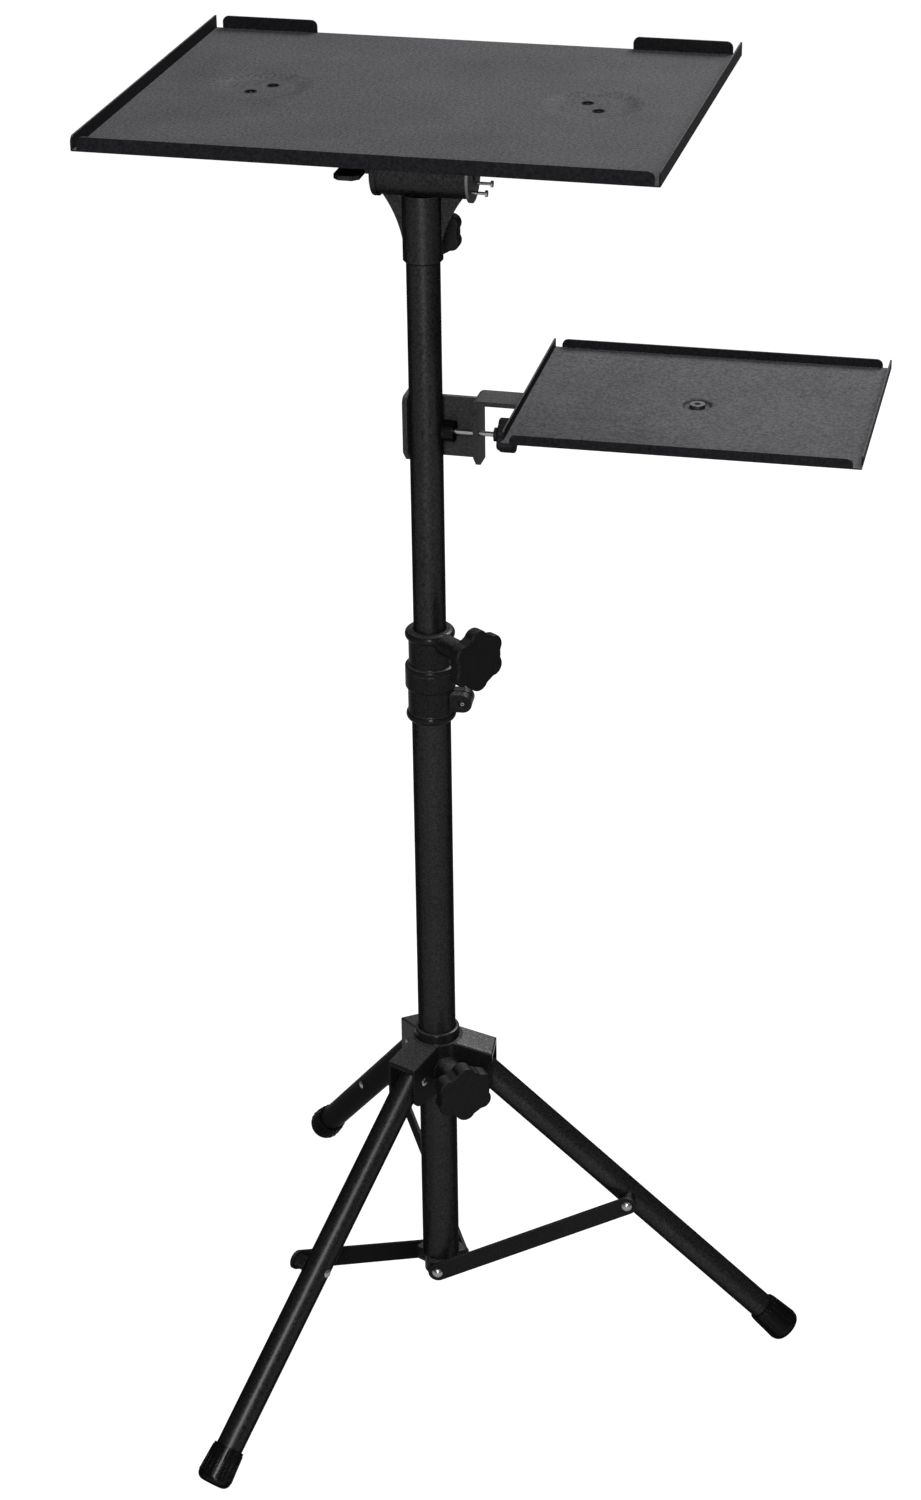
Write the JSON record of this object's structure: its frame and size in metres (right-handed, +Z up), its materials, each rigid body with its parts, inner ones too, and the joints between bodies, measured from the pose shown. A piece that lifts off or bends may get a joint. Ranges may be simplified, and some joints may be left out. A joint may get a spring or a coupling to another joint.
{
  "type": "portable projector stand",
  "caption": "Folding tripod stand with a telescoping mast, a tilting lipped tray on top for a projector and a smaller swivelling side tray on a clamp bracket.",
  "frame": {"origin": "floor point under the axis of the mast", "axes": "+Z up along the mast, +X along the main tray's width towards the side tray, -Y the front"},
  "size_m": [0.6197, 0.6046, 1.227],
  "materials": {
    "tray_coat": "fine textured black powder coat",
    "frame_coat": "satin black powder coat",
    "moulded_black": "satin moulded black",
    "knob_black": "fine grained black",
    "foot_rubber": "smooth black rubber",
    "bright_steel": "bright zinc plate"
  },
  "bodies": {
    "mast": {"lower_tube": "frame_coat", "mast_foot": "moulded_black", "foot_rivets": "bright_steel", "clamp_collar": "moulded_black", "collar_pinch_screw": "bright_steel"},
    "collar_knob": {"collar_knob": "knob_black"},
    "hub": {"leg_hub": "moulded_black", "hub_rivets": "bright_steel"},
    "hub_knob": {"hub_knob": "knob_black"},
    "upper_mast": {"upper_tube": "frame_coat"},
    "head": {"head_saddle": "frame_coat", "tilt_end_plate": "bright_steel", "tilt_pins": "bright_steel"},
    "head_knob": {"head_knob": "knob_black"},
    "tray": {"main_tray": "tray_coat", "tilt_yoke": "frame_coat"},
    "bracket": {"side_bracket": "frame_coat", "clamp_pad": "foot_rubber"},
    "clamp_screw": {"clamp_screw": "bright_steel", "clamp_knob": "knob_black"},
    "side_tray": {"side_tray": "tray_coat", "side_tray_bolt": "bright_steel", "side_tray_spacer": "knob_black"},
    "leg_right": {"leg_tube_right": "frame_coat", "foot_cap_right": "foot_rubber", "leg_bush_right": "frame_coat"},
    "brace_right": {"brace_bar_right": "frame_coat", "brace_rivet_right": "bright_steel"},
    "leg_back": {"leg_tube_back": "frame_coat", "foot_cap_back": "foot_rubber", "leg_bush_back": "frame_coat"},
    "brace_back": {"brace_bar_back": "frame_coat", "brace_rivet_back": "bright_steel"},
    "leg_left": {"leg_tube_left": "frame_coat", "foot_cap_left": "foot_rubber", "leg_bush_left": "frame_coat"},
    "brace_left": {"brace_bar_left": "frame_coat", "brace_rivet_left": "bright_steel"}
  },
  "joints": [
    {"name": "hub_slide", "type": "slide", "parent": "mast", "child": "hub", "axis": [0, 0, 1], "range_m": [0, 0.1656]},
    {"name": "leg_fold_right", "type": "hinge", "parent": "hub", "child": "leg_right", "pos_m": [0.0388, 0.0039, 0.29325], "axis": [-0.1, 0.995, 0], "range_deg": [0, 42.05]},
    {"name": "brace_fold_right", "type": "hinge", "parent": "mast", "child": "brace_right", "pos_m": [0, 0, 0.0635], "axis": [0.1, -0.995, 0], "range_deg": [0, 47.41]},
    {"name": "leg_fold_back", "type": "hinge", "parent": "hub", "child": "leg_back", "pos_m": [-0.02278, 0.03166, 0.29325], "axis": [-0.8117, -0.5841, 0], "range_deg": [0, 42.05]},
    {"name": "brace_fold_back", "type": "hinge", "parent": "mast", "child": "brace_back", "pos_m": [0, 0, 0.0635], "axis": [0.8117, 0.5841, 0], "range_deg": [0, 47.41]},
    {"name": "leg_fold_left", "type": "hinge", "parent": "hub", "child": "leg_left", "pos_m": [-0.01602, -0.03556, 0.29325], "axis": [0.9117, -0.4109, 0], "range_deg": [0, 42.05]},
    {"name": "brace_fold_left", "type": "hinge", "parent": "mast", "child": "brace_left", "pos_m": [0, 0, 0.0635], "axis": [-0.9117, 0.4109, 0], "range_deg": [0, 47.41]},
    {"name": "mast_height", "type": "slide", "parent": "mast", "child": "upper_mast", "axis": [0, 0, 1], "range_m": [-0.13, 0.1]},
    {"name": "head_swivel", "type": "hinge", "parent": "upper_mast", "child": "head", "pos_m": [0, 0, 1.12], "axis": [0, 0, 1], "continuous": true},
    {"name": "tray_tilt", "type": "hinge", "parent": "head", "child": "tray", "pos_m": [0, 0, 1.157], "axis": [1, 0, 0], "range_deg": [-20, 20]},
    {"name": "bracket_swing", "type": "hinge", "parent": "upper_mast", "child": "bracket", "pos_m": [0, 0, 0.93], "axis": [0, 0, 1], "continuous": true},
    {"name": "side_tray_swivel", "type": "hinge", "parent": "bracket", "child": "side_tray", "pos_m": [0.2339, 0, 0.9697], "axis": [0, 0, 1], "continuous": true},
    {"name": "collar_knob_turn", "type": "hinge", "parent": "mast", "child": "collar_knob", "pos_m": [0.03768, -0.02638, 0.733], "axis": [0.8192, -0.5736, 0], "continuous": true},
    {"name": "hub_knob_turn", "type": "hinge", "parent": "hub", "child": "hub_knob", "pos_m": [0.0292, -0.04058, 0.29525], "axis": [0.5841, -0.8117, 0], "continuous": true},
    {"name": "head_knob_turn", "type": "hinge", "parent": "head", "child": "head_knob", "pos_m": [0, 0.04, 1.091], "axis": [0, 1, 0], "continuous": true},
    {"name": "clamp_screw_turn", "type": "hinge", "parent": "bracket", "child": "clamp_screw", "pos_m": [0.06, 0, 0.93], "axis": [1, 0, 0], "continuous": true}
  ],
  "couplings": [
    {"joint": "leg_fold_right", "follows": "hub_slide", "rad_per_m": 4.4266},
    {"joint": "brace_fold_right", "follows": "hub_slide", "rad_per_m": 4.992},
    {"joint": "leg_fold_back", "follows": "hub_slide", "rad_per_m": 4.4266},
    {"joint": "brace_fold_back", "follows": "hub_slide", "rad_per_m": 4.992},
    {"joint": "leg_fold_left", "follows": "hub_slide", "rad_per_m": 4.4266},
    {"joint": "brace_fold_left", "follows": "hub_slide", "rad_per_m": 4.992}
  ]
}
